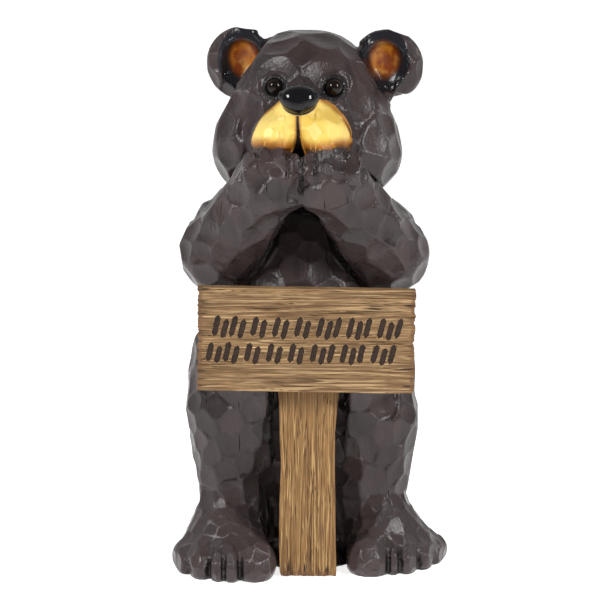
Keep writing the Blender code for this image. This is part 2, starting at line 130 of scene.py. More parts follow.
# %% Body, legs, arms and head
def torso(p):
    hips = ball(p, (-6, 12, 203), (130, 85, 130))
    belly = ball(p, (-5, -28, 272), (100, 76, 112))
    chest = ball(p, (-5, 14, 330), (106, 82, 104))
    hump = ball(p, (-4, 38, 385), (90, 54, 62))
    tail = ball(p, (0, 98, 152), (20, 20, 24))
    web = ball(p, (1, 18, 60), (60, 36, 150))
    base = ball(p, (0, -22, -14), (62, 64, 34))
    recess = np.max([np.abs(p[:, 0] - 2) - 45, p[:, 1] + 36, p[:, 2] - 224], axis=0)
    whole = cut(join_all([hips, belly, chest, hump, web], 26.0), recess, 9.0)
    return join_all([whole, tail, base], 8.0)


def leg(p, hip, ankle, hip_radius, ankle_radius):
    """The shin, squared off towards the other leg, and the heel."""
    shin = limb(p, hip, ankle, hip_radius, ankle_radius)
    inward = -math.copysign(14.0, ankle[0])
    inner = limb(p, (hip[0] + 1.4 * inward, -26, hip[2]), (ankle[0] + inward, -26, ankle[2]), 26, 23)
    heel = ball(p, (ankle[0], 12, 24), (37, 44, 38))
    return join(join(shin, inner, 10.0), heel, 24.0)


def foot(p, ankle, toes):
    """An instep that fans out from the ankle to five toes, with a slit between each two."""
    whole, pads = limb(p, (ankle[0], ankle[1] + 2, 46), (ankle[0], ankle[1] - 8, 30), 35, 37), None
    for x0, x1, tip_y, height in toes:
        x, half = (x0 + x1) / 2, abs(x1 - x0) / 2
        start = (ankle[0] * 0.8 + x * 0.2, ankle[1], 34)
        ray = limb(p, start, (x, tip_y + 34, 0.5 * height), 33, 12.0 + 0.5 * half)
        whole = join(whole, ray, 14.0)
        toe = ball(p, (x, tip_y + 31, 0.3 * height), (half + 4.6, 31, 0.7 * height))
        pads = toe if pads is None else join(pads, toe, 3.5)
    return join(whole, pads, 8.0)


def arm(p, side, shoulder, elbow, wrist):
    """Upper arm, forearm and the palm side of the paw."""
    upper = limb(p, shoulder, elbow, 42, 44)
    fore = limb(p, (elbow[0], elbow[1] - 7, elbow[2] + 2), wrist, 44, 35)
    paw = ball(p, (wrist[0] - side * 5, wrist[1] - 12, wrist[2] + 12), (32, 26, 30))
    palm = ball(p, (wrist[0] - side * 13.5, wrist[1] - 5, wrist[2] + 6), (33, 30, 30))
    heel = ball(p, (wrist[0] - side * 24, wrist[1] - 8, wrist[2] - 3), (19, 20, 17))
    return join_all([upper, fore, paw, palm, heel], 12.0)


def fingers(p, side, wrist):
    """Four fingers in a row along the paw's upper edge. Each hangs from its knuckle to its tip."""
    row = None
    for n in range(4):
        x = wrist[0] + side * (15.0 - FINGER_PITCH * n)
        z = wrist[2] + 20.0 - 1.4 * (n - 1.2) ** 2
        finger = limb(p, (x, wrist[1] - 31, z), (x, wrist[1] - 22, z + 15), 9.0, 8.0)
        row = finger if row is None else join(row, finger, 1.5)
    return row


def head_frame(p):
    """Points as the turned head sees them."""
    c, s = math.cos(HEAD_TURN), math.sin(HEAD_TURN)
    x, y = p[:, 0] - HEAD_SIDE, p[:, 1]
    return np.stack([x * c - y * s, x * s + y * c, p[:, 2]], axis=1)


def from_head(x, y, z):
    """A place on the turned head, in the bear's frame."""
    c, s = math.cos(HEAD_TURN), math.sin(HEAD_TURN)
    return HEAD_SIDE + x * c + y * s, -x * s + y * c, z


def brow(q, side):
    """The wide scoop over an eye, for points as the head sees them."""
    return ball(q, (side * 33 - 3, -95 + side * 2, 557), (31, 25, 46))


def skull(p):
    q = head_frame(p)
    crown = ball(q, (-7, 2, 515), (94, 90, 88))
    cheeks = join(ball(q, (-58, -12, 472), (51, 64, 52)), ball(q, (50, -12, 470), (51, 64, 52)), 30.0)
    jaw = ball(q, (-6, -34, 455), (66, 60, 46))
    whole = join_all([crown, cheeks, jaw], 24.0)
    for side in (-1, 1):
        whole = cut(whole, brow(q, side), 4.0)
        out, up = side * (q[:, 0] + 2) - TEMPLE_HALF, q[:, 2] - TEMPLE_TOP
        temple = out * math.cos(TEMPLE_LEAN) + up * math.sin(TEMPLE_LEAN)
        whole = cut(whole, -temple, 6.0)
    return whole


def muzzle(p):
    q = head_frame(p)
    lobes = join(ball(q, (-28, -88, 492), (28.5, 48, 30)), ball(q, (24, -88, 492), (28.5, 48, 30)), 12.0)
    upper = ball(q, (-1, -82, 517), (33, 46, 24))
    bridge = limb(q, (-1, -103, 530), (-1, -62, 545), 18, 16)
    whole = join_all([upper, bridge, lobes], 14.0)
    return cut(whole, limb(q, (-1, -135, 524), (-1, -133, 476), 2.5, 7.5), 2.5)


def nose(p):
    q = head_frame(p)
    pads = join(ball(q, (-9, -122, 538), (12, 14, 10)), ball(q, (9, -122, 538), (12, 14, 10)), 10.0)
    crest = ball(q, (0, -118, 541), (14, 13, 10))
    return join_all([pads, crest, ball(q, (0, -125, 531), (11, 12, 8.5))], 12.0)


def ears(p):
    q = head_frame(p)
    pair = None
    for side in (-1, 1):
        disc = ball(q, (side * 82 + 1, 16, 564.5 - side), (39.5, 19, 39.5))
        bowl = ball(q, (side * 80 + 1, -4, 565 - side), (26, 19, 28.5))
        ear = cut(disc, bowl, 4.0)
        pair = ear if pair is None else np.minimum(pair, ear)
    return pair


# Toes from the big one outwards: inner and outer sides along x, where the tip is along y, and the height
RIGHT_TOES = [(-41, -77, -133, 37), (-77, -92, -134, 36), (-92, -106, -131, 36), (-106, -129, -122, 35),
              (-128, -144, -101, 29)]
LEFT_TOES = [(50, 92, -112, 38), (92, 102, -105, 36), (102, 121, -101, 35), (121, 140, -84, 33),
             (138, 152, -62, 23)]

# Each group of forms, the fillet where it joins those before it, and the width and the greatest
# depth of the knife cuts on it
GROUPS = {
    "torso": (torso, 1.0, 27.0, 2.6),
    "right_leg": (lambda p: leg(p, (-89, -8, 170), (-87, -14, 60), 49, 35), 14.0, 24.0, 1.9),
    "left_leg": (lambda p: leg(p, (79, -8, 160), (77, -14, 58), 49, 34), 14.0, 24.0, 1.9),
    "right_foot": (lambda p: foot(p, (-89, -32), RIGHT_TOES), 12.0, 15.0, 1.2),
    "left_foot": (lambda p: foot(p, (82, -30), LEFT_TOES), 12.0, 15.0, 1.2),
    "right_arm": (lambda p: arm(p, -1, (-90, 12, 373), (-95, -45, 360), RIGHT_WRIST), 7.0, 25.0, 2.6),
    "left_arm": (lambda p: arm(p, 1, (82, 12, 371), (88, -45, 357), LEFT_WRIST), 4.5, 25.0, 2.6),
    "right_fingers": (lambda p: fingers(p, -1, RIGHT_WRIST), 4.0, 14.0, 1.0),
    "left_fingers": (lambda p: fingers(p, 1, LEFT_WRIST), 4.0, 14.0, 1.0),
    "skull": (skull, 5.0, 31.0, 2.6),
    "muzzle": (muzzle, 11.0, 22.0, 0.7),
    "nose": (nose, 1.5, 14.0, 0.4),
    "ears": (ears, 9.0, 20.0, 2.2),
}

# %% [markdown]
# ## One distance for the whole bear
#
# The forms are blended one after another, each with the fillet that suits its joint. Each group is
# only measured inside its own reach, which makes the fine skin several times quicker to find.
#
# The lids are new here: a raised ring round each glass bead, which is simply every point that is close
# to both the skin and a circle round the bead.

# %% Blend the groups, each within its reach
LOW, HIGH = (-172, -172, -16), (176, 136, 624)
FAR = 60.0
LID_GAP, LID_THICK = 2.0, 1.9


def lattice(axes):
    """Every point of the grid that three lists of coordinates make."""
    return np.stack(np.meshgrid(*axes, indexing="ij"), axis=-1).reshape(-1, 3)


def reach(form, margin=30.0, step=8.0):
    """The corners of a box outside which a form is further away than the margin."""
    p = lattice([np.arange(LOW[a] - step, HIGH[a] + step, step) for a in range(3)])
    near = p[form(p) < margin]
    return near.min(axis=0) - step, near.max(axis=0) + step


REACH = {name: reach(group[0]) for name, group in GROUPS.items()}


def bear_field(p):
    """Distance from each point to the bear's skin, negative inside."""
    whole = np.full(len(p), FAR)
    for name, (form, fillet, *_) in GROUPS.items():
        low, high = REACH[name]
        near = ((p > low) & (p < high)).all(axis=1)
        whole[near] = join(whole[near], form(p[near]), fillet)
    return np.maximum(whole, -9.0 - p[:, 2])


def from_eye(p):
    """How far each point is from the axis of the nearer bead. Points behind the face count as far off."""
    q = head_frame(p)
    away = np.full(len(p), FAR)
    for centre in EYES.values():
        c = head_frame(centre[None])[0]
        away = np.minimum(away, np.hypot(q[:, 0] - c[0], q[:, 2] - c[2]))
    return np.where(q[:, 1] < -40, away, FAR)


def lidded_field(p):
    """The bear's skin with a raised lid round each eye and a flat underside at the ground."""
    skin = bear_field(p)
    ring = np.hypot(from_eye(p) - EYE_RADIUS - LID_GAP, skin) - LID_THICK
    return np.maximum(join(skin, ring, 2.5), -p[:, 2])


def bowl(p):
    """How far each point is from the middle of the nearer ear's bowl: 1 at the edge of its orange."""
    q = head_frame(p)
    away = np.full(len(p), 9.0)
    for side in (-1, 1):
        flat = np.hypot((q[:, 0] - side * 80 - 1) / 18.0, (q[:, 2] - 571) / 22.5)
        away = np.where((q[:, 0] * side > 0) & (q[:, 1] < 24) & (q[:, 1] > -14), np.minimum(away, flat), away)
    return away


def cut_sizes(p):
    """Width and depth of a knife cut at each point: those of the group whose skin is nearest."""
    distances = np.stack([form(p) for form, *_ in GROUPS.values()])
    sizes = np.array([(width, depth) for _, _, width, depth in GROUPS.values()])
    return sizes[np.argmin(distances, axis=0)]


for name, (low, high) in REACH.items():
    print(f"{name}: reaches from {low.round()} to {high.round()}")

# %% [markdown]
# ## From a distance to a skin
#
# A skin is drawn on a grid: every cell that the surface crosses gets one vertex, and every grid edge
# that it crosses gets one quad. The vertices then slide down the slope of the distance until they
# lie on the surface, without leaving their cells, so no face can fold over.

# %% Grid, slope and quads
def in_chunks(function, p, size=200000):
    return np.concatenate([function(p[i:i + size]) for i in range(0, len(p), size)])


def gradient(field, p, step=0.3):
    slopes = [in_chunks(field, p + step * axis) - in_chunks(field, p - step * axis) for axis in np.eye(3)]
    g = np.stack(slopes, axis=1) / (2 * step)
    return g / np.maximum(np.linalg.norm(g, axis=1), 1e-9)[:, None]


def openness(field, p, normals, out=5.0):
    """How nearly the skin a little further out still faces the same way: low in a crease."""
    return np.einsum("ij,ij->i", normals, gradient(field, p + out * normals))


def onto_skin(field, p, rounds=3, longest=3.0):
    """Moves points along the field's slope until they lie on the skin."""
    for _ in range(rounds):
        p = p - np.clip(in_chunks(field, p), -longest, longest)[:, None] * gradient(field, p)
    return p


def inside_grid(field, step, counts):
    """Whether each grid node is inside. Only nodes near the skin are measured one by one."""
    coarse = 4
    wide = [n // coarse + 2 for n in counts]
    axes = [LOW[a] + coarse * step * np.arange(wide[a]) for a in range(3)]
    rough = in_chunks(field, lattice(axes)).reshape(wide)
    nearest = [np.minimum((np.arange(n) + coarse // 2) // coarse, w - 1) for n, w in zip(counts, wide)]
    rough = rough[np.ix_(*nearest)]
    inside = rough <= 0
    close = np.argwhere(np.abs(rough) < 1.5 * coarse * step)
    inside[tuple(close.T)] = in_chunks(field, np.array(LOW) + step * close) <= 0
    return inside


def without_touching_corners(inside):
    """Fills the nodes where two lumps would meet only at an edge or a corner, so the skin is one sheet."""
    while True:
        before = inside.sum()
        for a, b in ((0, 1), (0, 2), (1, 2)):
            turned = np.moveaxis(inside, (a, b), (0, 1))
            views = [turned[i:i - 1 or None, j:j - 1 or None] for i in (0, 1) for j in (0, 1)]
            crossed = (views[0] == views[3]) & (views[1] == views[2]) & (views[0] != views[1])
            for view in views:
                view |= crossed
        cubes = [inside[i:i - 1 or None, j:j - 1 or None, k:k - 1 or None]
                 for i in (0, 1) for j in (0, 1) for k in (0, 1)]
        number = sum(cube.astype(int) for cube in cubes)
        for n in range(4):
            pair = (cubes[n] == cubes[7 - n]) & (number == np.where(cubes[n], 2, 6))
            for cube in cubes:
                cube |= pair
        if inside.sum() == before:
            return inside


def skin_mesh(field, step):
    """One vertex in every grid cell that the skin crosses, one quad across every grid edge it crosses."""
    counts = [int(math.ceil((HIGH[a] - LOW[a]) / step)) + 1 for a in range(3)]
    inside = without_touching_corners(inside_grid(field, step, counts))
    corner_sum = sum(
        inside[i:counts[0] - 1 + i, j:counts[1] - 1 + j, k:counts[2] - 1 + k].astype(int)
        for i in (0, 1) for j in (0, 1) for k in (0, 1)
    )
    crossed = (corner_sum > 0) & (corner_sum < 8)
    index = np.full(crossed.shape, -1)
    index[crossed] = np.arange(crossed.sum())
    middles = np.array(LOW) + step * (np.argwhere(crossed) + 0.5)
    points = middles
    for _ in range(3):  # each vertex moves to the skin, and stays in its own cell
        points = onto_skin(field, points, rounds=1)
        points = middles + np.clip(points - middles, -0.48 * step, 0.48 * step)
    quads = []
    for axis in range(3):
        b, c = (axis + 1) % 3, (axis + 2) % 3
        front = np.roll(inside, -1, axis)
        edges = np.argwhere(inside != front)
        edges = edges[(edges[:, axis] < counts[axis] - 1) & (edges[:, b] > 0) & (edges[:, c] > 0)]
        ring = []
        for db, dc in ((1, 1), (0, 1), (0, 0), (1, 0)):
            cell = edges.copy()
            cell[:, b] -= db
            cell[:, c] -= dc
            ring.append(index[tuple(cell.T)])
        ring = np.stack(ring, axis=1)
        leaving = inside[tuple(edges.T)]
        ring[~leaving] = ring[~leaving][:, ::-1]
        quads.append(ring)
    return points, np.concatenate(quads)

# %% [markdown]
# ## The knife cuts
#
# The whole look of the bear comes from broad, slightly hollow gouge cuts that meet in sharp ridges.
# Each cut is a flat. A point of the skin slides to the flat of the nearest cut. Near the line between
# two cuts it takes a share of both, so the ridge has a small radius, as thick paint gives it.

# %% Where the cuts lie
TRIAL_STEP = 8.0
SCOOP_SIZE = (46.0, 2.6)
HOLLOW = 0.043  # how deep a cut's middle is, as a share of its width
RIDGE_SHARPNESS = 14.0  # the higher, the narrower the band where two cuts run into each other


def cut_centres(field):
    """Places of the knife cuts: the wide scoops over the eyes, and the others spread over the skin
    so that each has about its own width to itself."""
    scoops = np.array([from_head(side * 30 - 3, -72, 566) for side in (-1, 1)])
    rng = np.random.default_rng(7)
    p = lattice([np.arange(LOW[a], HIGH[a], TRIAL_STEP) for a in range(3)])
    p = p + rng.uniform(-0.4, 0.4, p.shape) * TRIAL_STEP
    p = p[np.abs(in_chunks(field, p)) < TRIAL_STEP]
    p = onto_skin(field, p, rounds=4, longest=TRIAL_STEP)
    p = p[np.abs(in_chunks(field, p)) < 0.5]
    p = p[rng.permutation(len(p))]
    p = np.concatenate([onto_skin(field, scoops, rounds=4, longest=TRIAL_STEP), p])
    sizes = in_chunks(cut_sizes, p)
    sizes[:len(scoops)] = SCOOP_SIZE
    widths = sizes[:, 0]
    kept = list(range(len(scoops)))
    for i in range(len(scoops), len(p)):
        if (np.linalg.norm(p[kept] - p[i], axis=1) > 0.43 * (widths[i] + widths[kept])).all():
            kept.append(i)
    return p[kept], gradient(field, p[kept]), sizes[kept]


cuts = cut_centres(bear_field)
print(len(cuts[0]), "knife cuts, from", cuts[2][:, 0].min(), "to", cuts[2][:, 0].max(), "mm wide")

# %% Press the flats into a skin
def cut_shares(p, normals):
    """For each point, its four nearest cuts, the share of each, how far off each one's middle is in
    widths, and how near the next ridge is in millimetres."""
    centres, facings, sizes = cuts
    near, away = np.empty((len(p), 4), int), np.empty((len(p), 4))
    for start in range(0, len(p), 20000):
        q, n = p[start:start + 20000], normals[start:start + 20000]
        gap = (q ** 2).sum(axis=1)[:, None] + (centres ** 2).sum(axis=1) - 2.0 * q @ centres.T
        gap = np.sqrt(np.maximum(gap, 0.0)) / sizes[:, 0]
        gap = gap + 0.6 * np.clip(0.4 - n @ facings.T, 0.0, None)
        four = np.argpartition(gap, 4, axis=1)[:, :4]
        gap = np.take_along_axis(gap, four, axis=1)
        order = np.argsort(gap, axis=1)
        near[start:start + 20000] = np.take_along_axis(four, order, axis=1)
        away[start:start + 20000] = np.take_along_axis(gap, order, axis=1)
    share = np.exp(-RIDGE_SHARPNESS * (away - away[:, :1]))
    share = share / share.sum(axis=1, keepdims=True)
    return near, share, away, 0.5 * (away[:, 1] - away[:, 0]) * sizes[near[:, 0], 0]


def carved(p, normals):
    """Moves each point to the flat of its cut, with a soft ridge between two cuts."""
    centres, facings, sizes = cuts
    near, share, away, _ = cut_shares(p, normals)
    m = facings[near]
    rise = np.einsum("ijk,ijk->ij", centres[near] - p[:, None, :], m)
    rise = rise / np.maximum(np.einsum("ik,ijk->ij", normals, m), 0.45)
    width, depth = sizes[near, 0], sizes[near, 1]
    rise = np.clip(rise, -depth, depth) - depth / 8
    hollow = HOLLOW * width * (depth / 2.6) * np.clip(1.0 - (2.0 * away) ** 2, 0.0, 1.0)
    return p + normals * (share * (rise - hollow)).sum(axis=1)[:, None]

# %% [markdown]
# ## The fine skin
#
# The grid is much finer than the measured solid's, so ridges come out straight. The cuts fade out
# round the lids and where the skin is creased, between the toes and under the arms, because a gouge
# can't reach in there. A Decimate modifier then takes out the points that lie in the flats, where they
# show nothing, and the lowest points are set flat on the ground.

# %% Draw the skin, carve it and thin it
SKIN_STEP = 1.7
SKIN_TRIANGLES = 180000
GROUND_SNAP = 0.4  # points lower than this are set on the ground


def only(*objects):
    """Deselects everything, then selects these and makes the first one active."""
    bpy.ops.object.select_all(action="DESELECT")
    for piece in objects:
        piece.select_set(True)
    bpy.context.view_layer.objects.active = objects[0]


def with_modifier(piece, kind, **settings):
    """Adds a modifier with these settings and applies it."""
    only(piece)
    modifier = piece.modifiers.new(kind.lower(), kind)
    for name, value in settings.items():
        setattr(modifier, name, value)
    bpy.ops.object.modifier_apply(modifier=modifier.name)


def read(what, name):
    """Reads a vector for each of a mesh's points or faces, in millimetres."""
    flat = np.empty(len(what) * 3)
    what.foreach_get(name, flat)
    return flat.reshape(-1, 3) / MM


def put(piece, p):
    """Moves a piece's points to these places, in millimetres."""
    piece.data.vertices.foreach_set("co", (p * MM).ravel())
    piece.data.update()


def linked(name, data):
    """Puts a mesh, a light or a camera into the scene as an object."""
    made = bpy.data.objects.new(name, data)
    bpy.context.scene.collection.objects.link(made)
    return made


def bear_skin():
    points, quads = skin_mesh(lidded_field, SKIN_STEP)
    normals = gradient(lidded_field, points)
    fades = [(openness(lidded_field, points, normals), 0.55, 0.35), (points[:, 2], 0.0, 4.0),
             (from_eye(points) - EYE_RADIUS, 5.0, 4.0), (bowl(points), 1.25, 0.2), (nose(points), 0.0, 3.0)]
    share = np.ones(len(points))
    for value, start, length in fades:  # no cut below the start, a whole one after the length
        share = share * np.clip((value - start) / length, 0.0, 1.0)
    points = carved(points, normals * share[:, None])
    mesh = bpy.data.meshes.new("carved_bear")
    mesh.from_pydata(points * MM, [], quads)
    bear = linked("carved_bear", mesh)
    print(len(points), "points drawn every", SKIN_STEP, "mm")
    with_modifier(bear, "DECIMATE", ratio=SKIN_TRIANGLES / (2 * len(quads)))
    thinned = read(bear.data.vertices, "co")
    thinned[thinned[:, 2] < GROUND_SNAP, 2] = 0.0
    put(bear, thinned)
    return bear


bear = bear_skin()
print("carved_bear has", len(bear.data.polygons), "faces")

# %% [markdown]
# ## Seats for the beads, the board and the post
#
# The casting is hollowed where another piece sits in it or stands against it. Each seat is a plain
# cutter a little larger than its piece, taken out with a Boolean. MANIFOLD is the solver for closed
# skins: it is quick, cuts along the true line and gives the same faces each time.

# %% Cut the seats
SEAT_GAP = 0.4
BOARD_ROLL = math.radians(0.9)
board_low, board_high = corners("sign_board")
post_low, post_high = corners("sign_post")
board_centre = (board_low + board_high) / 2
c, s = math.cos(BOARD_ROLL), math.sin(BOARD_ROLL)
spread = board_high - board_low
board_length = (spread[0] * c - spread[2] * s) / (c * c - s * s)
board_height = (spread[2] * c - spread[0] * s) / (c * c - s * s)
board_thick = spread[1]
print("board:", round(board_length, 1), "x", round(board_height, 1), "x", round(board_thick, 1), "mm")


def block(name, centre, size, roll=0.0):
    """A box of that size in millimetres, with its size in its mesh."""
    bpy.ops.mesh.primitive_cube_add(size=1, location=Vector(centre) * MM, rotation=(0, roll, 0))
    made = bpy.context.active_object
    made.name = made.data.name = name
    made.scale = Vector(size) * MM
    bpy.ops.object.transform_apply(location=False, rotation=False, scale=True)
    return made


def take_out(piece, cutter, **settings):
    """Cuts the cutter's shape out of the piece and removes the cutter."""
    with_modifier(piece, "BOOLEAN", operation="DIFFERENCE", solver="MANIFOLD", object=cutter, **settings)
    bpy.data.objects.remove(cutter)


for centre in EYES.values():
    bpy.ops.mesh.primitive_uv_sphere_add(segments=48, ring_count=24, radius=(EYE_RADIUS + SEAT_GAP / 2) * MM,
                                         location=Vector(centre) * MM, rotation=(math.pi / 2, 0, 0))
    take_out(bear, bpy.context.active_object)
seat = 2 * SEAT_GAP
board_size = np.array([board_length, board_thick, board_height])
take_out(bear, block("board_seat", board_centre, board_size + seat, BOARD_ROLL))
take_out(bear, block("post_seat", (post_low + post_high) / 2, post_high - post_low + seat))
print("after its seats the bear has", len(bear.data.polygons), "faces")

# %% [markdown]
# ## Drying cracks
#
# A carved log dries and opens in fine upright checks. Each one is a long thin wedge, deepest in its
# middle, pressed into the skin along the grain. All the wedges are one cutter, and the Boolean hands
# their near-black finish, a painted shade, on to the faces that it opens. No two wedges meet, because
# this Boolean needs a cutter that doesn't cross itself.

CHECK_COUNT = 70
CHECK_WIDTH, CHECK_DEPTH = 1.1, 2.6


def wedge(bm, middle, facing, length, width, depth):
    """A double-ended wedge: its keel lies under the skin, along the grain."""
    out = Vector(facing).normalized()
    along = (Vector((0, 0, 1)) - out * out.z).normalized()
    across = along.cross(out)
    middle = Vector(middle)
    rim = [(-0.5 * length, 0, 0), (0, -0.5 * width, 0.4), (0.5 * length, 0, 0), (0, 0.5 * width, 0.4)]
    verts = [bm.verts.new((middle + along * a + across * b + out * h) * MM) for a, b, h in rim]
    keel = bm.verts.new((middle - out * depth) * MM)
    crown = bm.verts.new((middle + out * depth) * MM)
    for n in range(4):
        bm.faces.new((verts[n], verts[(n + 1) % 4], crown))
        bm.faces.new((verts[(n + 1) % 4], verts[n], keel))


def check_sites(count, aside=9.0, above=44.0):
    p = read(bear.data.polygons, "center")
    p = p[np.random.default_rng(11).permutation(len(p))[:6000]]
    p = p[(p[:, 2] > 60) & (p[:, 2] < 590) & (from_eye(p) > 20)]
    p = p[(muzzle(p) > 6) & (nose(p) > 8) & (ears(p) > 6)]
    n = gradient(bear_field, p)
    open_side = (openness(bear_field, p, n) > 0.9) & (np.abs(n[:, 2]) < 0.55)
    p, n = p[open_side], n[open_side]
    kept = [0]
    for i in range(1, len(p)):
        apart = p[kept] - p[i]
        clear = (np.hypot(apart[:, 0], apart[:, 1]) > aside) | (np.abs(apart[:, 2]) > above)
        if len(kept) < count and clear.all():
            kept.append(i)
    return p[kept], n[kept]

# %% Open the checks
def paint_slot(piece, *names):
    """Gives the piece one material slot for each named finish, and no others."""
    piece.data.materials.clear()
    for name in names:
        piece.data.materials.append(bpy.data.materials.get(name) or bpy.data.materials.new(name))


paint_slot(bear, "bear_paint")
rng = np.random.default_rng(5)
bm = bmesh.new()
for middle, facing in zip(*check_sites(CHECK_COUNT)):
    wedge(bm, middle, facing, rng.uniform(12, 38), CHECK_WIDTH, CHECK_DEPTH)
bmesh.ops.recalc_face_normals(bm, faces=bm.faces)
wedges = linked("wedges", bpy.data.meshes.new("wedges"))
bm.to_mesh(wedges.data)
bm.free()
paint_slot(wedges, "check_shadow")
take_out(bear, wedges, material_mode="TRANSFER")
print("with its checks it has", len(bear.data.polygons), "faces and", len(bear.data.materials), "finishes")

# %% [markdown]
# ## Where each paint goes
#
# The painter follows the forms: yellow on the muzzle, gloss black on the nose with a thin cream line
# round it, orange in the bowls of the ears. So the distance to each form is written on to the skin as
# an attribute, and the paint turns it into a sharp or an airbrushed edge, much finer than the mesh. The
# carving is written too: how near a ridge is, how deep a crease is, and one random tone for each cut.

# %% Write the distances on to the skin
def write(piece, name, values, domain="POINT"):
    """Stores one number for each point or face of a piece."""
    layer = piece.data.attributes.new(name, "FLOAT", domain)
    layer.data.foreach_set("value", np.ascontiguousarray(values, dtype=np.float32))


# The upper edge of the yellow, as places across the face and their heights, and half the width of the
# dark cleft at each height
MUZZLE_OUTLINE = [(-60, 470), (-55, 487), (-50, 503), (-42, 518), (-22, 535), (0, 545), (20, 536), (35, 526),
                  (45, 515), (52, 501), (56, 470)]
MUZZLE_FOOT = 480.0  # height of the yellow's lower edge
BROW_FOOT = 560.0  # the pale brush stops here, above the eyes
CLEFT_HALF = [(464, 11.0), (476, 8.0), (485, 3.8), (494, 1.7), (516, 0.9), (526, 0.6)]
skin = read(bear.data.vertices, "co")
facing = gradient(lidded_field, skin)
beside = ("skull", "right_arm", "left_arm")
others = np.min([GROUPS[name][0](skin) for name in beside], axis=0)
turned = head_frame(skin)
write(bear, "ridge_gap", cut_shares(skin, facing)[3])
# The crease depth sets where the paint lays painted shade.
write(bear, "crease", np.clip(1.0 - openness(lidded_field, skin, facing), 0.0, 1.0))
write(bear, "nose_gap", nose(skin))
paws = np.minimum(*[GROUPS[name][0](skin) for name in ("right_fingers", "left_fingers")])
write(bear, "muzzle_edge", muzzle(skin) - np.minimum(others, paws))
write(bear, "muzzle_rim", np.minimum(others, skin[:, 2] - MUZZLE_FOOT))
write(bear, "muzzle_top", turned[:, 2] - np.interp(turned[:, 0], *np.array(MUZZLE_OUTLINE).T))
brow_gap = np.min([np.abs(brow(turned, side)) for side in (-1, 1)], axis=0)
write(bear, "brow_gap", brow_gap + np.clip(BROW_FOOT - skin[:, 2], 0.0, 9.0))
# The front of the chest under the arms, which the pale brush and the painted highlight leave out.
write(bear, "sheltered", (torso(skin) < 4.0) & (skin[:, 1] < -40.0))
write(bear, "face_side", turned[:, 0] + 1)
write(bear, "cleft_half", np.interp(turned[:, 2], *np.array(CLEFT_HALF).T))
write(bear, "bowl_edge", bowl(skin))
write(bear, "lid_gap", from_eye(skin) - EYE_RADIUS)
middles = read(bear.data.polygons, "center")
own_cut = cut_shares(middles, gradient(bear_field, middles))[0][:, 0]
write(bear, "cut_tone", np.random.default_rng(2).uniform(0, 1, len(cuts[0]))[own_cut], "FACE")
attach(bear, "root")
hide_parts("bear")
print("painted zones written for", len(skin), "points")

# %% [markdown]
# ## Mixing paint with nodes
#
# Every finish below is a small tree of nodes, so a few short helpers keep the recipes readable: one
# adds a node and joins what it is given, one turns a value into a mask, one mixes two colours. They
# add to the recipe that was started last, which is always called tree, with its shader. Patterns are
# laid out on Object coordinates, in metres, so a grain keeps its real size.

# %% Helpers for the finishes
def fill(made, inputs):
    """Joins each input of a node to the output it is given, or sets it to the value."""
    for key, value in inputs.items():
        if isinstance(value, bpy.types.NodeSocket):
            tree.links.new(value, made.inputs[key])
        else:
            made.inputs[key].default_value = value


def node(kind, inputs, out=0, **settings):
    """Adds a node, fills its inputs and returns one of its outputs."""
    made = tree.nodes.new("ShaderNode" + kind)
    for name, value in settings.items():
        setattr(made, name, value)
    fill(made, inputs)
    return made.outputs[out]


def start(name):
    """A material with its shader and nothing else. Returns its tree and its shader."""
    material = bpy.data.materials.get(name) or bpy.data.materials.new(name)
    material.use_nodes = True
    return material.node_tree, material.node_tree.nodes["Principled BSDF"]


def coat(base, rough, specular):
    """Gives the shader its colour, its roughness and how strongly it reflects."""
    fill(shader, {"Base Color": base, "Roughness": rough, "Specular IOR Level": specular})


def colour(paint):
    """The paint as a colour: three values are red, green and blue, one is a grey. A socket stays as it is."""
    if isinstance(paint, bpy.types.NodeSocket):
        return paint
    return (*np.broadcast_to(paint, 3).tolist(), 1.0)


def maths(operation, a, b=0.0):
    return node("Math", {0: a, 1: b}, operation=operation)


def times(a, b):
    return maths("MULTIPLY", a, b)


def mask(value, low, high):
    """0 below low, 1 above high, smooth between. Low above high turns it round."""
    inputs = {"Value": value, "From Min": min(low, high), "From Max": max(low, high),
              "To Min": float(low > high), "To Max": float(low < high)}
    return node("MapRange", inputs, interpolation_type="SMOOTHSTEP")


def mixed(share, a, b):
    return node("Mix", {0: share, 6: colour(a), 7: colour(b)}, 2, data_type="RGBA")


def layered(base, *layers):
    """The base with each layer's paint over it, as far as the layer's share says."""
    for share, paint in layers:
        base = mixed(share, base, paint)
    return base


def mottled(noise_value, low, high, a, b):
    """Paint a with patches of paint b where the noise is high."""
    return mixed(mask(noise_value, low, high), a, b)


def written(name):
    return node("Attribute", {}, 2, attribute_name=name)


def on_object():
    """Object coordinates, in metres."""
    return node("TexCoord", {}, 3)


def height_of(place):
    return node("SeparateXYZ", {0: place}, 2)


def pattern(scale, detail=3.0, stretch=(1, 1, 1), roughness=0.5, offset=(0, 0, 0)):
    """Noise on Object coordinates. A small stretch value draws it out along that axis."""
    place = node("Mapping", {"Vector": on_object(), "Scale": stretch, "Location": offset})
    inputs = {"Vector": place, "Scale": scale, "Detail": detail, "Roughness": roughness}
    return node("TexNoise", inputs)


def relief(height, distance, strength):
    """Fine bumps on the shader, as high as the distance in metres."""
    inputs = {"Height": height, "Distance": distance, "Strength": strength}
    fill(shader, {"Normal": node("Bump", inputs)})
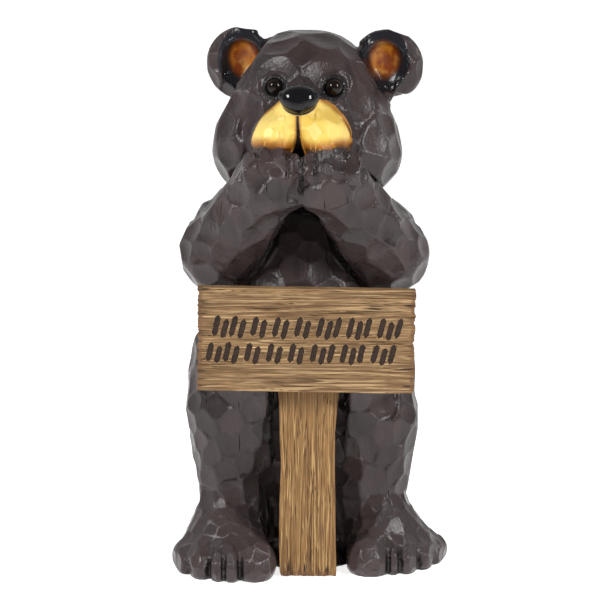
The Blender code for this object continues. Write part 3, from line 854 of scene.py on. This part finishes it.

# %% [markdown]
# ## The bear's paint
#
# The casting is sprayed a warm brown-black, wiped with cooler grey in places, and dry-brushed: a nearly
# dry pale brush is dragged upright over the carving and catches on the ridges and on the flats that
# stand out. The pale is kept to the sides that face up and off the chest under the arms, so it is partly
# a painted highlight. Creases are painted near-black, as painted shade. Over that comes a satin
# varnish, so the flats shine unevenly.

# %% bear_paint: ground colour, dry brush, painted highlight and painted shade
tree, shader = start("bear_paint")
tone = written("cut_tone")
hairlines = times(mask(pattern(260, 2, (1, 1, 0.035)), 0.69, 0.73),
                  mask(pattern(22, 2, offset=(0.4, 0.1, 0)), 0.48, 0.60))
# Painted light: everything below about 0.1 m, the feet above all, is painted a lighter brown-black for light
# falling on them.
feet_painted_lighter = times(mask(height_of(on_object()), 0.105, 0.070), 0.6)
base = layered(
    mottled(pattern(14), 0.42, 0.62, (0.040, 0.026, 0.026), (0.031, 0.026, 0.025)),
    (mask(tone, 0.3, 1.0), (0.046, 0.032, 0.032)),
    (mask(tone, 0.3, 0.0), (0.033, 0.023, 0.023)),
    (mask(pattern(60, 5, (1, 1, 0.25)), 0.42, 0.80), (0.022, 0.014, 0.014)),
    (hairlines, (0.008, 0.005, 0.005)),
    (feet_painted_lighter, (0.060, 0.045, 0.045)))
bristles = pattern(620, 4, (1, 1, 0.06), 0.6)
patches = pattern(30, 3, (1, 1, 0.6), 0.55, (0.3, 0.1, 0.2))
facing_up = height_of(node("NewGeometry", {}, 1))
# Pale on ridges and on some flats, kept to the sides that face up: dry brush, and painted highlight where
# light falls from above.
ridge = times(mask(written("ridge_gap"), 1.3, 0.15), mask(patches, 0.50, 0.64))
ridge = times(ridge, mask(facing_up, -0.25, 0.25))
flat = times(mask(tone, 0.80, 0.97), mask(patches, 0.46, 0.62))
flat = times(flat, mask(facing_up, -0.2, 0.3))
brow_edge = mask(written("brow_gap"), 1.5, 0.2)
drybrush_and_highlight = maths("MAXIMUM", times(ridge, 0.62), times(flat, 0.14))
drybrush_and_highlight = maths("MAXIMUM", drybrush_and_highlight, times(brow_edge, 0.16))
# Painted shade: the creases get near-black paint and no pale brush.
out_of_crease_shade = mask(written("crease"), 0.50, 0.08)
drybrush_and_highlight = times(times(drybrush_and_highlight, mask(bristles, 0.28, 0.66)), out_of_crease_shade)
# No pale brush and no painted highlight on the front of the chest under the arms, where shade falls.
drybrush_and_highlight = times(drybrush_and_highlight, maths("SUBTRACT", 1.0, written("sheltered")))
base = mixed(out_of_crease_shade, (0.013, 0.009, 0.009), mixed(drybrush_and_highlight, base, (0.34, 0.31, 0.31)))

# %% bear_paint: lids and ears
blotches = pattern(62, 3, (1, 1, 0.6))
bowl_edge = maths("ADD", written("bowl_edge"), times(blotches, 0.16))
orange = layered(
    mottled(blotches, 0.40, 0.60, (0.165, 0.032, 0.003), (0.40, 0.135, 0.012)),
    (mask(pattern(38, 2, offset=(0.13, 0, 0)), 0.54, 0.70), (0.47, 0.24, 0.055)),
    (mask(bowl_edge, 0.72, 1.08), (0.055, 0.014, 0.004)))
# Near-black round each bead: dark lid paint, and painted shade in the socket gap.
lid_and_socket_shade = mask(written("lid_gap"), 5.5, 3.8)
in_bowl, ear_gloss = mask(bowl_edge, 1.20, 1.00), mask(bowl_edge, 1.75, 1.60)
base = layered(base, (lid_and_socket_shade, (0.012, 0.010, 0.011)), (ear_gloss, (0.011, 0.011, 0.014)), (in_bowl, orange))

# %% bear_paint: muzzle, mouth and nose
cloud = times(pattern(120, 4), 4.0)
rim = maths("SUBTRACT", written("muzzle_rim"), cloud)
top = maths("ADD", written("muzzle_top"), times(cloud, 0.4))
cleft = maths("SUBTRACT", maths("ABSOLUTE", written("face_side")), written("cleft_half"))
yellow = layered(
    mottled(pattern(45, 3, (1, 1, 0.5)), 0.35, 0.68, (0.68, 0.455, 0.085), (0.79, 0.585, 0.165)),
    (mask(rim, 15.0, 5.0), (0.36, 0.135, 0.015)),
    (mask(rim, 7.0, 0.5), (0.060, 0.022, 0.006)),
    (mask(top, -3.2, 0.6), (0.42, 0.19, 0.030)),
    (mask(cleft, 4.0, 0.5), (0.46, 0.21, 0.035)),
    (mask(cleft, 1.0, 0.0), (0.008, 0.005, 0.004)),
    (mask(pattern(420, 2, (1, 1, 0.03)), 0.66, 0.72), (0.60, 0.38, 0.09)))
nose_gap = written("nose_gap")
on_muzzle = times(mask(written("muzzle_edge"), 0.35, -0.35), mask(top, 1.6, 0.6))
outline, on_nose = times(on_muzzle, mask(nose_gap, 2.0, 1.6)), mask(nose_gap, 1.2, 0.9)
base = layered(base, (on_muzzle, yellow), (outline, (0.50, 0.35, 0.15)), (on_nose, (0.004, 0.004, 0.005)))

# %% bear_paint: shine and brush marks
rough = layered(mottled(pattern(40, 4), 0.35, 0.65, 0.24, 0.36),
                (drybrush_and_highlight, 0.55), (ear_gloss, 0.22), (in_bowl, 0.30), (on_muzzle, 0.34), (on_nose, 0.07))
coat(base, rough, 0.26)
streaks, pits = pattern(300, 4, (1, 1, 0.12), 0.6), pattern(110)
glossy = maths("MAXIMUM", on_nose, times(maths("MAXIMUM", on_muzzle, ear_gloss), 0.75))
relief(times(maths("ADD", streaks, times(pits, 1.5)), maths("SUBTRACT", 1.0, glossy)), 0.0008, 0.5)
print("bear_paint has", len(tree.nodes), "nodes")

# %% check_shadow: painted shade inside the drying cracks
tree, shader = start("check_shadow")
# Near-black, a little mottled: painted shade in the cracks.
coat(mixed(pattern(200), (0.004, 0.003, 0.003), (0.012, 0.009, 0.009)), 0.8, 0.2)
print("check_shadow has", len(tree.nodes), "nodes")

# %% [markdown]
# ## Glass beads for eyes
#
# Each eye is a black glass bead pushed into its seat. A turned profile would do, but a sphere is
# quicker: its front cap is ground a little flat in edit mode, and the part behind the lid is dull.

# %% Two beads
CAP, RIM = 0.55, 0.18  # where the flat cap starts and the shiny part ends, in radii from the middle
SLIMMER = 0.985  # how wide the bead is, so that it clears its seat
GROUND_OFF = 0.0005  # how much is ground off the cap, in metres for each radius above its edge


def bead(name, centre):
    """A bead that looks where the head looks."""
    forward = Vector((-math.sin(HEAD_TURN), -math.cos(HEAD_TURN), 0))
    bpy.ops.mesh.primitive_uv_sphere_add(segments=64, ring_count=32, radius=EYE_RADIUS * MM)
    eye = bpy.context.active_object
    eye.name = eye.data.name = name
    paint_slot(eye, "eye_glass", "eye_rim")
    bpy.ops.object.mode_set(mode="EDIT")
    bm = bmesh.from_edit_mesh(eye.data)
    for vert in bm.verts:
        height = vert.co.z / (EYE_RADIUS * MM)
        vert.co.x *= SLIMMER
        vert.co.y *= SLIMMER
        if height > CAP:
            vert.co.z -= GROUND_OFF * (height - CAP)
    for face in bm.faces:
        face.material_index = int(face.calc_center_median().z < RIM * EYE_RADIUS * MM)
    bmesh.update_edit_mesh(eye.data)
    bpy.ops.object.mode_set(mode="OBJECT")
    bpy.ops.object.shade_smooth()
    eye.rotation_mode = "QUATERNION"
    eye.rotation_quaternion = Vector((0, 0, 1)).rotation_difference(forward)
    eye.location = Vector(centre) * MM
    bpy.ops.object.transform_apply(location=True, rotation=True, scale=True)
    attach(eye, "root")
    return eye


for name, centre in EYES.items():
    eye = bead(name + "_bead", centre)
    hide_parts(name)
    print(eye.name, "has", len(eye.data.polygons), "faces")

# %% eye_glass and eye_rim
tree, shader = start("eye_glass")
coat(mixed(pattern(160), (0.003, 0.002, 0.002), (0.010, 0.005, 0.003)), 0.05, 0.22)
tree, shader = start("eye_rim")
coat(mixed(pattern(300), (0.006, 0.005, 0.005), (0.030, 0.024, 0.024)), 0.35, 0.22)
print("eye_rim has", len(tree.nodes), "nodes")

# %% [markdown]
# ## The plank
#
# The board imitates a thick split plank: furrows run along it, deep and narrow between broad worn
# bands, and both ends are broken, band by band. Grain in the paint alone would stay flat at the edges,
# so it is in the mesh. A box is cut into strips in edit mode, finely across the grain and coarsely
# along it. Then one grain function, which every side shares, pushes its points in, so a furrow runs
# over an edge without a break.

# %% A grain for planks
GRAIN_DEPTH = 1.5
EDGE_WEAR, EDGE_ROUNDING = 2.0, 0.12  # how near an edge the wear begins, and how fast it grows from there
END_SHARE = 0.06  # how much of each half plank, at its end, is drawn in where bands have snapped off


def grain(along, across, deep, seed):
    """How far the weather has eaten into a plank there, from 0 to 1. Lengths are millimetres."""
    drift = 3.2 * noise.noise(Vector((along / 90.0, across / 40.0, seed)))
    bands = noise.noise(Vector((along / 260.0, (across + drift) / 4.2, deep / 9.0 + seed)))
    fine = noise.noise(Vector((along / 110.0, (across + drift) / 1.6, deep / 4.0 + seed + 7.0)))
    furrow = 1.0 - min(1.0, abs(bands + 0.30 * fine) / 0.11)
    gust = 0.55 + 0.9 * noise.noise(Vector((along / 60.0, across / 14.0, seed + 3.0)))
    deep_cut = max(furrow, 0.0) ** 1.5 * min(1.0, max(0.15, gust))
    return min(1.0, max(0.0, 0.8 * deep_cut + 0.34 * (0.5 + 0.5 * fine) + 0.12 * (bands + 0.5)))


def strips(piece, axis, *rounds):
    """Cuts a box into strips across one axis. Each round of cuts divides the strips of the one before."""
    bpy.ops.object.mode_set(mode="EDIT")
    bpy.ops.mesh.select_mode(type="EDGE")
    for cuts_between in rounds:
        bpy.ops.mesh.select_all(action="DESELECT")
        bm = bmesh.from_edit_mesh(piece.data)
        for edge in bm.edges:
            run = edge.verts[1].co - edge.verts[0].co
            edge.select = abs(run[axis]) > 0.9 * run.length
        bmesh.update_edit_mesh(piece.data)
        bpy.ops.mesh.subdivide(number_cuts=cuts_between, quadcorner="STRAIGHT_CUT")
    bpy.ops.object.mode_set(mode="OBJECT")


def broken_end(across, deep, seed, most):
    """How much of a band has snapped off at an end."""
    band = noise.noise(Vector((seed, across / 6.0, deep / 14.0)))
    sliver = noise.noise(Vector((seed + 3.0, across / 1.7, deep / 5.0)))
    return most * min(1.0, max(0.0, 0.45 + 0.8 * band + 0.45 * sliver))


def weathered(piece, seed, axis, ends):
    """Pushes a plank's points in: the grain on its long sides, broken bands at its ends. axis is 0 for a
    grain along X and 2 for one along Z, and ends says how much may snap off the low and the high end."""
    p = read(piece.data.vertices, "co")
    other = 2 - axis
    half, middle = (p.max(axis=0) - p.min(axis=0)) / 2, (p.max(axis=0) + p.min(axis=0)) / 2
    worn, snapped = np.zeros(len(p)), np.zeros(len(p))
    for i, (q, point) in enumerate(zip(p - middle, p)):
        worn[i] = grain(point[axis], point[other], point[1], seed)
        share = np.abs(q) / half
        corner = sum(max(0.0, EDGE_WEAR - (half[a] - abs(q[a]))) for a in (1, other))
        for a in (1, other):
            if share[a] > 0.999:
                p[i, a] -= math.copysign(GRAIN_DEPTH * worn[i] + EDGE_ROUNDING * corner, q[a])
        if share[axis] > 1.0 - END_SHARE:
            end = ends[int(q[axis] > 0)]
            snapped[i] = (share[axis] - 1.0 + END_SHARE) / END_SHARE
            short = broken_end(point[other], point[1], seed + math.copysign(5.0, q[axis]), end)
            p[i, axis] -= math.copysign(short * snapped[i], q[axis])
    put(piece, p)
    write(piece, "worn", worn)
    write(piece, "snapped", snapped)
    write(piece, "to_end", half[axis] - np.abs((p - middle)[:, axis]))
    return p

# %% Saw, split and weather the board
ALONG, UP, DEEP = (((9, 9), (14, 11), (14,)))

board = block("plank_board", (0, 0, 0), board_size)
for axis, rounds in ((0, ALONG), (1, DEEP), (2, UP)):
    strips(board, axis, *rounds)
weathered(board, 21.0, 0, (3.2, 3.2))
print(board.name, "has", len(board.data.polygons), "faces before its marks")

# %% [markdown]
# ## Rows of gouged marks
#
# The board carries two rows of slanting strokes in seven clusters. They are plain tool marks: one
# gouge shape, repeated with small changes in length and lean. The gouge is a six-sided bar that is
# narrowed towards its inner end, so each mark has a flat dark floor and pale sloping sides.

# %% Cut the marks
MARK_WIDTH, MARK_DEPTH, MARK_LEAN = 7.9, 2.0, math.radians(13)
FLOOR_SHARE = 0.78, 0.90  # how wide and how long a mark's floor is, as a share of its mouth
MARK_POINT, MARK_ABOVE = 1.44, 1.5  # how far the flanks run past a regular bar's, and the bar past the board
MARK_ROWS = [(13.5, 27.0), (-15.5, 25.0)]
MARK_CLUSTERS = [(-102, 4), (-60, 2), (-36, 2), (-12, 2), (12, 3), (45, 3), (79, 3)]
MARK_PITCH = 9.4
MARK_FIELD = (114, 34)  # all marks lie within this, to either side of the board's middle


def gouge():
    """A six-sided bar along Y with pointed ends and sloping sides. Its far end is the mark's floor."""
    bpy.ops.mesh.primitive_cylinder_add(vertices=6, radius=0.5, depth=1, rotation=(math.pi / 2, 0, 0))
    bpy.ops.object.transform_apply(location=False, rotation=True, scale=False)
    made = bpy.context.active_object
    bpy.ops.object.mode_set(mode="EDIT")
    bm = bmesh.from_edit_mesh(made.data)
    for vert in bm.verts:
        if abs(vert.co.x) > 0.1:
            vert.co.z *= MARK_POINT
        if vert.co.y > 0:
            vert.co.x *= FLOOR_SHARE[0]
            vert.co.z *= FLOOR_SHARE[1]
    bmesh.update_edit_mesh(made.data)
    bpy.ops.object.mode_set(mode="OBJECT")
    return made


def paint_marks(board):
    """Dark paint on the marks' flat floors, the worn margin's paint on their sloping sides."""
    centres, out = read(board.data.polygons, "center"), read(board.data.polygons, "normal")[:, 1] * MM
    depth = centres[:, 1] + board_thick / 2
    among = (np.abs(centres[:, [0, 2]]) < MARK_FIELD).all(axis=1) & (depth > 0.3) & (depth < MARK_DEPTH + 0.5)
    floors = among & (depth > MARK_DEPTH - 0.3) & (out < -0.95)
    sides = among & ~floors & (np.abs(out) < 0.6)
    board.data.polygons.foreach_set("material_index", (floors + 2 * sides).astype(int))
    board.data.update()
    print(floors.sum(), "faces on the marks' floors,", sides.sum(), "on their sides")


def cut_marks(board):
    """Copies the gouge to every mark, joins the copies and takes them out of the board."""
    first_gouge, copies = gouge(), []
    rng = np.random.default_rng(9)
    for up, length in MARK_ROWS:
        for first, count in MARK_CLUSTERS:
            for n in range(count):
                one = first_gouge.copy()
                one.data = first_gouge.data.copy()
                bpy.context.scene.collection.objects.link(one)
                tall = length - 2.0 * (n % 2) + rng.uniform(-1.0, 1.0)
                one.scale = Vector((MARK_WIDTH / 0.866, MARK_DEPTH + MARK_ABOVE, tall)) * MM
                one.rotation_euler.y = MARK_LEAN + rng.uniform(-0.03, 0.03)
                across, deep = first + MARK_PITCH * n + math.tan(MARK_LEAN) * up, MARK_DEPTH - MARK_ABOVE
                one.location = Vector((across, (deep - board_thick) / 2, up + 1.5 * (-1) ** n)) * MM
                copies.append(one)
    bpy.data.objects.remove(first_gouge)
    only(*copies)
    bpy.ops.object.transform_apply(location=True, rotation=True, scale=True)
    bpy.ops.object.join()
    take_out(board, bpy.context.active_object)
    paint_slot(board, "sign_paint", "stroke_paint", "stroke_margin")
    paint_marks(board)
    return len(copies)


print(cut_marks(board), "marks cut;", board.name, "has", len(board.data.polygons), "faces")
only(board)
board.rotation_euler = (0, BOARD_ROLL, 0)
board.location = Vector(board_centre) * MM
bpy.ops.object.transform_apply(location=True, rotation=True, scale=True)
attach(board, "root")
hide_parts("sign_board")

# %% [markdown]
# ## The post
#
# The post is a thinner plank stood on end, a little waisted at knee height and wider at its top, where
# the board covers it. It is the same recipe with the grain along Z: a box, strips, a profile that moves
# the sides in, and then the weather.

# %% Waist, grain and foot of the post
POST_PROFILE = [(0, -29.5, 33.0), (4, -31.5, 33.5), (34, -32.0, 32.5), (80, -31.5, 32.0), (125, -29.6, 31.3),
                (165, -31.0, 31.4), (195, -31.6, 34.0), (222, -33.5, 37.5), (290, -33.5, 37.5)]

post = block("plank_post", (post_low + post_high) / 2, post_high - post_low)
only(post)
bpy.ops.object.transform_apply(location=True, rotation=True, scale=True)
for axis, rounds in ((2, ALONG), (0, ((10, 7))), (1, ((19,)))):
    strips(post, axis, *rounds)
p = read(post.data.vertices, "co")
heights, lefts, rights = np.array(POST_PROFILE).T
left, right = np.interp(p[:, 2], heights, lefts), np.interp(p[:, 2], heights, rights)
p = weathered(post, 43.0, 2, (1.2, 1.5))
p[:, 0] = left + (right - left) * (p[:, 0] - post_low[0]) / (post_high[0] - post_low[0])
put(post, p)
paint_slot(post, "sign_paint")
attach(post, "root")
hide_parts("sign_post")
print(post.name, "has", len(post.data.polygons), "faces")

# %% [markdown]
# ## Weathered wood
#
# The planks are undercoated a warm mid brown, the furrows are washed with thin dark brown, and the worn
# bands are dry-brushed with pale cream. The wash follows the written wear, so it lies exactly in the
# furrows of the mesh. Finer streaks, too thin to model, come from noise that is drawn out along the
# grain. The broken ends are redder, where the undercoat shows.

# %% sign_paint and post_paint: one recipe for both grain directions
# Beside each dark furrow line runs a pale one: a painted highlight, as on a lit lip.
LIP = 0.0011  # how far the pale lip of a furrow stands from its dark line, in metres


def furrows(along, beside=0.0):
    """Long wavering lines along the grain: the level lines of a drawn-out noise."""
    across = [beside * (v == 1) for v in along]
    away = maths("ABSOLUTE", maths("SUBTRACT", pattern(105, 2, along, 0.5, across), 0.5))
    return mask(away, 0.030, 0.008)


def wood(along, across, dark, middle, pale, shadowed=0.0):
    """Wood paint, from noise drawn out along the grain. The last argument is where a painted shadow darkens
    it.
    """
    dark, middle, pale = np.array(dark), np.array(middle), np.array(pale)
    streaks, worn, furrow = pattern(640, 4, along, 0.6), written("worn"), furrows(along)
    threads = times(mask(pattern(420, 3, along, 0.5, (0.7, 0.2, 0.4)), 0.62, 0.70), mask(worn, 0.30, 0.10))
    opening = pattern(210, 3, along, 0.5, (0.2, 0.5, 0.3))
    opening = maths("SUBTRACT", opening, times(written("to_end"), 0.007))
    snapped = times(mask(written("snapped"), 0.05, 0.6), mask(streaks, 0.35, 0.60))
    base = layered(
        mottled(pattern(110, 4, along, 0.6, (0.4, 0.2, 0.1)), 0.34, 0.70, 0.72 * middle, middle),
        (mask(pattern(24, 3, across), 0.40, 0.66), 0.86 * middle),
        (mask(streaks, 0.56, 0.70), pale),
        (mask(streaks, 0.46, 0.36), dark),
        # Painted highlight: the pale line beside each furrow line.
        (times(furrows(along, LIP), 0.62), pale),
        (times(furrow, 0.72), dark),
        (threads, 1.25 * pale),
        (mask(worn, 0.34, 0.80), 0.42 * dark),
        (mask(opening, 0.49, 0.56), 0.30 * dark),
        (snapped, (0.150, 0.072, 0.028)),
        (shadowed, dark))
    coat(base, mixed(streaks, 0.75, 0.50), 0.35)
    relief(maths("SUBTRACT", streaks, times(furrow, 0.8)), 0.0009, 0.9)


tree, shader = start("sign_paint")
wood((0.04, 1, 1), (0.4, 1, 1), (0.105, 0.050, 0.017), (0.240, 0.138, 0.057), (0.45, 0.300, 0.150))
tree, shader = start("post_paint")
# Painted shadow: the top of the post, just under the board, is painted darker for the board's shade.
board_shadow = times(mask(height_of(on_object()), 0.186, 0.214), 0.55)
wood((1, 1, 0.04), (1, 1, 0.4), (0.098, 0.043, 0.011), (0.270, 0.140, 0.046), (0.49, 0.315, 0.128),
     board_shadow)
post.data.materials[0] = bpy.data.materials["post_paint"]
print("post_paint has", len(tree.nodes), "nodes")

# %% stroke_paint and stroke_margin
tree, shader = start("stroke_paint")
dark = mottled(pattern(260, 4, (0.4, 1, 1)), 0.35, 0.70, (0.015, 0.006, 0.003), (0.034, 0.016, 0.008))
coat(dark, 0.6, 0.3)
tree, shader = start("stroke_margin")
worn = mottled(pattern(300, 4, (0.3, 1, 1)), 0.40, 0.60, (0.115, 0.058, 0.024), (0.44, 0.29, 0.14))
coat(worn, 0.65, 0.3)
print("stroke_margin has", len(tree.nodes), "nodes")

# %% [markdown]
# ## Floor, light and camera
#
# The floor glows a little, like a light table, so it stays an even white. The room is bright behind the
# statue at eye level and dim above and in front, so the sides that face forward stay dark. Glossy black
# paint shows its form by what it reflects, so two softboxes, left and right of the camera, draw a
# bright patch on every flat that turns towards them. A long lens keeps the sides nearly parallel.

# %% Floor
FLOOR_SIZE, FLOOR_DROP = 80, 0.0005  # in metres. The floor lies a hair below the feet
bpy.ops.mesh.primitive_plane_add(size=FLOOR_SIZE, location=(0, 0, -FLOOR_DROP))
floor = bpy.context.active_object
floor.name = "floor"
paint_slot(floor, "floor_white")
tree, shader = start("floor_white")
coat(mixed(pattern(3, 2), 0.89, 0.90), 0.9, 0.5)
fill(shader, {"Emission Color": colour(1), "Emission Strength": 0.8})
print("the floor is", FLOOR_SIZE, "m wide")

# %% Soft lights and a white room
scene = bpy.context.scene
room = bpy.data.worlds.new("pale_room")
scene.world = room
room.use_nodes = True
tree = room.node_tree
rearward = node("VectorMath", {0: node("TexCoord", {}), 1: (0, 1, -0.6)}, 1, operation="DOT_PRODUCT")
bright = {"Value": rearward, "From Min": -0.3, "From Max": 0.9, "To Min": 0.2, "To Max": 0.9}
fill(tree.nodes["Background"], {"Color": colour(1), "Strength": node("MapRange", bright)})


def stand(name, data, place, aim):
    """Stands a light or a camera at a place, pointed at the aim."""
    made = linked(name, data)
    made.location = place
    made.rotation_euler = (Vector(aim) - Vector(place)).to_track_quat("-Z", "Y").to_euler()
    return made


boxes = [("left_softbox", (-1.45, -1.1, 1.75), 37), ("right_softbox", (1.45, -1.2, 1.55), 34)]
for name, place, power in boxes:
    box = bpy.data.lights.new(name, "AREA")
    box.shape, box.size, box.size_y, box.energy = "RECTANGLE", 0.4, 0.8, power
    stand(name, box, place, (0, 0, 0.3))
    print(name, "shines with", power, "W")
scene.view_settings.view_transform = "Standard"
scene.view_settings.exposure = 0.0

# %% Camera
lens = bpy.data.cameras.new("camera")
lens.lens, lens.sensor_width = 141.485, 36
scene.camera = stand("camera", lens, (-0.008, -2.659, 0.7653), (-0.008, 0, 0.29645))
print("the lens is", round(lens.lens), "mm long")
